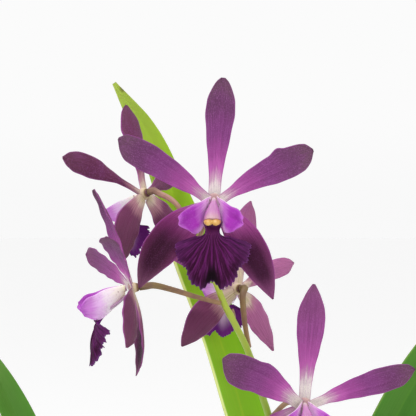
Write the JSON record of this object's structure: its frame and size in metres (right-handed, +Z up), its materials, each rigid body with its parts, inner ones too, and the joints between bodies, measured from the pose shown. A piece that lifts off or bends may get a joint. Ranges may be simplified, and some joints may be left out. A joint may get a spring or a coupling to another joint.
{
  "type": "potted enanthleya orchid",
  "caption": "Potted enanthleya orchid: clay pot of bark, ribbed pseudobulbs, strap leaves and an arching stem of wine purple blooms with ruffled violet lips.",
  "frame": {"origin": "centre of the pot's flat underside", "axes": "+Z up; the main bloom looks along -Y; +X to the right of a viewer who faces that bloom"},
  "size_m": [0.245, 0.2808, 0.4515],
  "materials": {
    "terracotta": "matt fired clay",
    "bark": "rough, dry",
    "rhizome": "papery, matt",
    "bulb": "smooth, faintly ribbed",
    "leaf_lime": "satin",
    "leaf_green": "satin",
    "stem": "smooth",
    "pedicel": "smooth",
    "tepal": "soft satin",
    "lip": "velvety",
    "column": "waxy",
    "anther": "waxy"
  },
  "bodies": {
    "root": {"pot": "terracotta", "bark": "bark", "rhizome": "rhizome", "pseudobulb_1": "bulb", "pseudobulb_2": "bulb", "pseudobulb_3": "bulb", "pseudobulb_4": "bulb", "leaf_1": "leaf_lime", "leaf_2": "leaf_green", "leaf_3": "leaf_green", "leaf_4": "leaf_green", "leaf_5": "leaf_green", "leaf_6": "leaf_green", "leaf_7": "leaf_green", "flower_stem": "stem", "tepals_1": "tepal", "lip_1": "lip", "column_1": "column", "anther_cap_1": "anther", "pedicel_1": "pedicel", "tepals_2": "tepal", "lip_2": "lip", "column_2": "column", "anther_cap_2": "anther", "pedicel_2": "pedicel", "tepals_3": "tepal", "lip_3": "lip", "column_3": "column", "anther_cap_3": "anther", "pedicel_3": "pedicel", "tepals_4": "tepal", "lip_4": "lip", "column_4": "column", "anther_cap_4": "anther", "pedicel_4": "pedicel", "tepals_5": "tepal", "lip_5": "lip", "column_5": "column", "anther_cap_5": "anther", "pedicel_5": "pedicel"}
  },
  "joints": []
}
